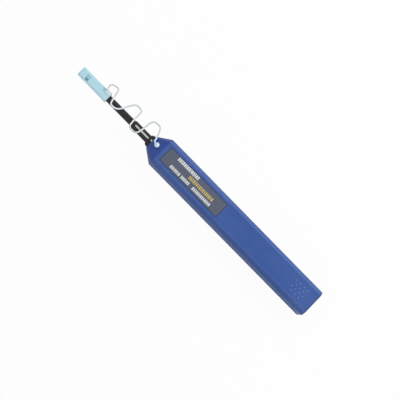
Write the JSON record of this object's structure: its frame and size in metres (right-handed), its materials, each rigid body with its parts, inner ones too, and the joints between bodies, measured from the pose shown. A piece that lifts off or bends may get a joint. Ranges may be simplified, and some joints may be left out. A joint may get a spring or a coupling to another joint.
{
  "type": "fibre connector cleaning pen",
  "caption": "Push-action cleaning pen for 1.25 mm fibre ferrules: long bevelled casing, sliding nozzle, reels of thread, geared feed, cam-turned tip and a tethered cap.",
  "frame": {"origin": "centre of the casing's flat back face", "axes": "+X along the pen towards the nozzle tip, +Z out of the front (label) face, Y across"},
  "size_m": [0.231, 0.023, 0.0185],
  "materials": {
    "casing_blue": "satin moulded ABS, blue",
    "label_slate": "printed vinyl label, slate grey",
    "collar_black": "black moulded nylon",
    "nozzle_black": "black moulded acetal",
    "acetal_white": "white acetal",
    "frame_natural": "natural nylon",
    "cap_blue": "translucent pale blue polypropylene",
    "tether_clear": "whitish translucent polyethylene",
    "spring_steel": "drawn spring steel",
    "pin_steel": "ground steel pin",
    "thread_white": "densely woven micro-fibre thread"
  },
  "bodies": {
    "casing": {"front_shell": "casing_blue", "back_shell": "casing_blue", "nose_collar": "collar_black", "label": "label_slate", "follower_pin": "pin_steel", "return_spring": "spring_steel", "tether": "tether_clear"},
    "carriage": {"carriage": "frame_natural", "carriage_cover": "frame_natural", "nozzle_sleeve": "nozzle_black", "cleaning_thread": "thread_white"},
    "pinion": {"feed_pinion": "acetal_white"},
    "take_up": {"take_up_reel": "frame_natural", "take_up_roll": "thread_white"},
    "supply": {"supply_reel": "frame_natural", "supply_roll": "thread_white"},
    "barrel": {"cam_barrel": "acetal_white"},
    "nozzle": {"nozzle_tube": "nozzle_black", "extension_slider": "acetal_white"},
    "tip": {"tip_shaft": "acetal_white"},
    "button": {"lock_button": "acetal_white"},
    "cap": {"cap_body": "cap_blue", "ferrule_guide": "cap_blue"},
    "lid": {"cap_lid": "cap_blue"}
  },
  "joints": [
    {"name": "nozzle_push", "type": "slide", "parent": "casing", "child": "carriage", "axis": [-1, 0, 0], "range_m": [0, 0.009], "stiffness_N_per_m": 400, "springref_m": -0.005, "deforming": ["return_spring", "cleaning_thread"]},
    {"name": "pinion_turn", "type": "hinge", "parent": "carriage", "child": "pinion", "pos_m": [-0.0326, 0, 0.00875], "axis": [0, 0, 1], "range_deg": [0, 115]},
    {"name": "take_up_turn", "type": "hinge", "parent": "carriage", "child": "take_up", "pos_m": [-0.0326, 0, 0.00875], "axis": [0, 0, 1], "range_deg": [0, 115]},
    {"name": "supply_turn", "type": "hinge", "parent": "carriage", "child": "supply", "pos_m": [-0.0486, 0, 0.00875], "axis": [0, 0, 1], "range_deg": [0, 63]},
    {"name": "cam_turn", "type": "hinge", "parent": "carriage", "child": "barrel", "pos_m": [0, 0, 0.00875], "axis": [-1, 0, 0], "range_deg": [0, 180]},
    {"name": "nozzle_extend", "type": "slide", "parent": "carriage", "child": "nozzle", "axis": [1, 0, 0], "range_m": [0, 0.014]},
    {"name": "tip_turn", "type": "hinge", "parent": "nozzle", "child": "tip", "pos_m": [0.1, 0, 0.00875], "axis": [-1, 0, 0], "range_deg": [0, 180]},
    {"name": "lock_press", "type": "slide", "parent": "nozzle", "child": "button", "axis": [0, 0, -1], "range_m": [0, 0.0005], "stiffness_N_per_m": 300, "springref_m": -0.0005},
    {"name": "cap_pull", "type": "slide", "parent": "nozzle", "child": "cap", "axis": [1, 0, 0], "range_m": [0, 0.03], "deforming": ["tether"]},
    {"name": "lid_flip", "type": "hinge", "parent": "cap", "child": "lid", "pos_m": [0.14915, 0, 0.01215], "axis": [0, -1, 0], "range_deg": [0, 170]}
  ],
  "couplings": [
    {"joint": "pinion_turn", "follows": "nozzle_push", "rad_per_m": 222.22},
    {"joint": "take_up_turn", "follows": "nozzle_push", "rad_per_m": 222.22},
    {"joint": "supply_turn", "follows": "nozzle_push", "rad_per_m": 121.21},
    {"joint": "cam_turn", "follows": "nozzle_push", "rad_per_m": 349.06},
    {"joint": "tip_turn", "follows": "nozzle_push", "rad_per_m": 349.06}
  ]
}
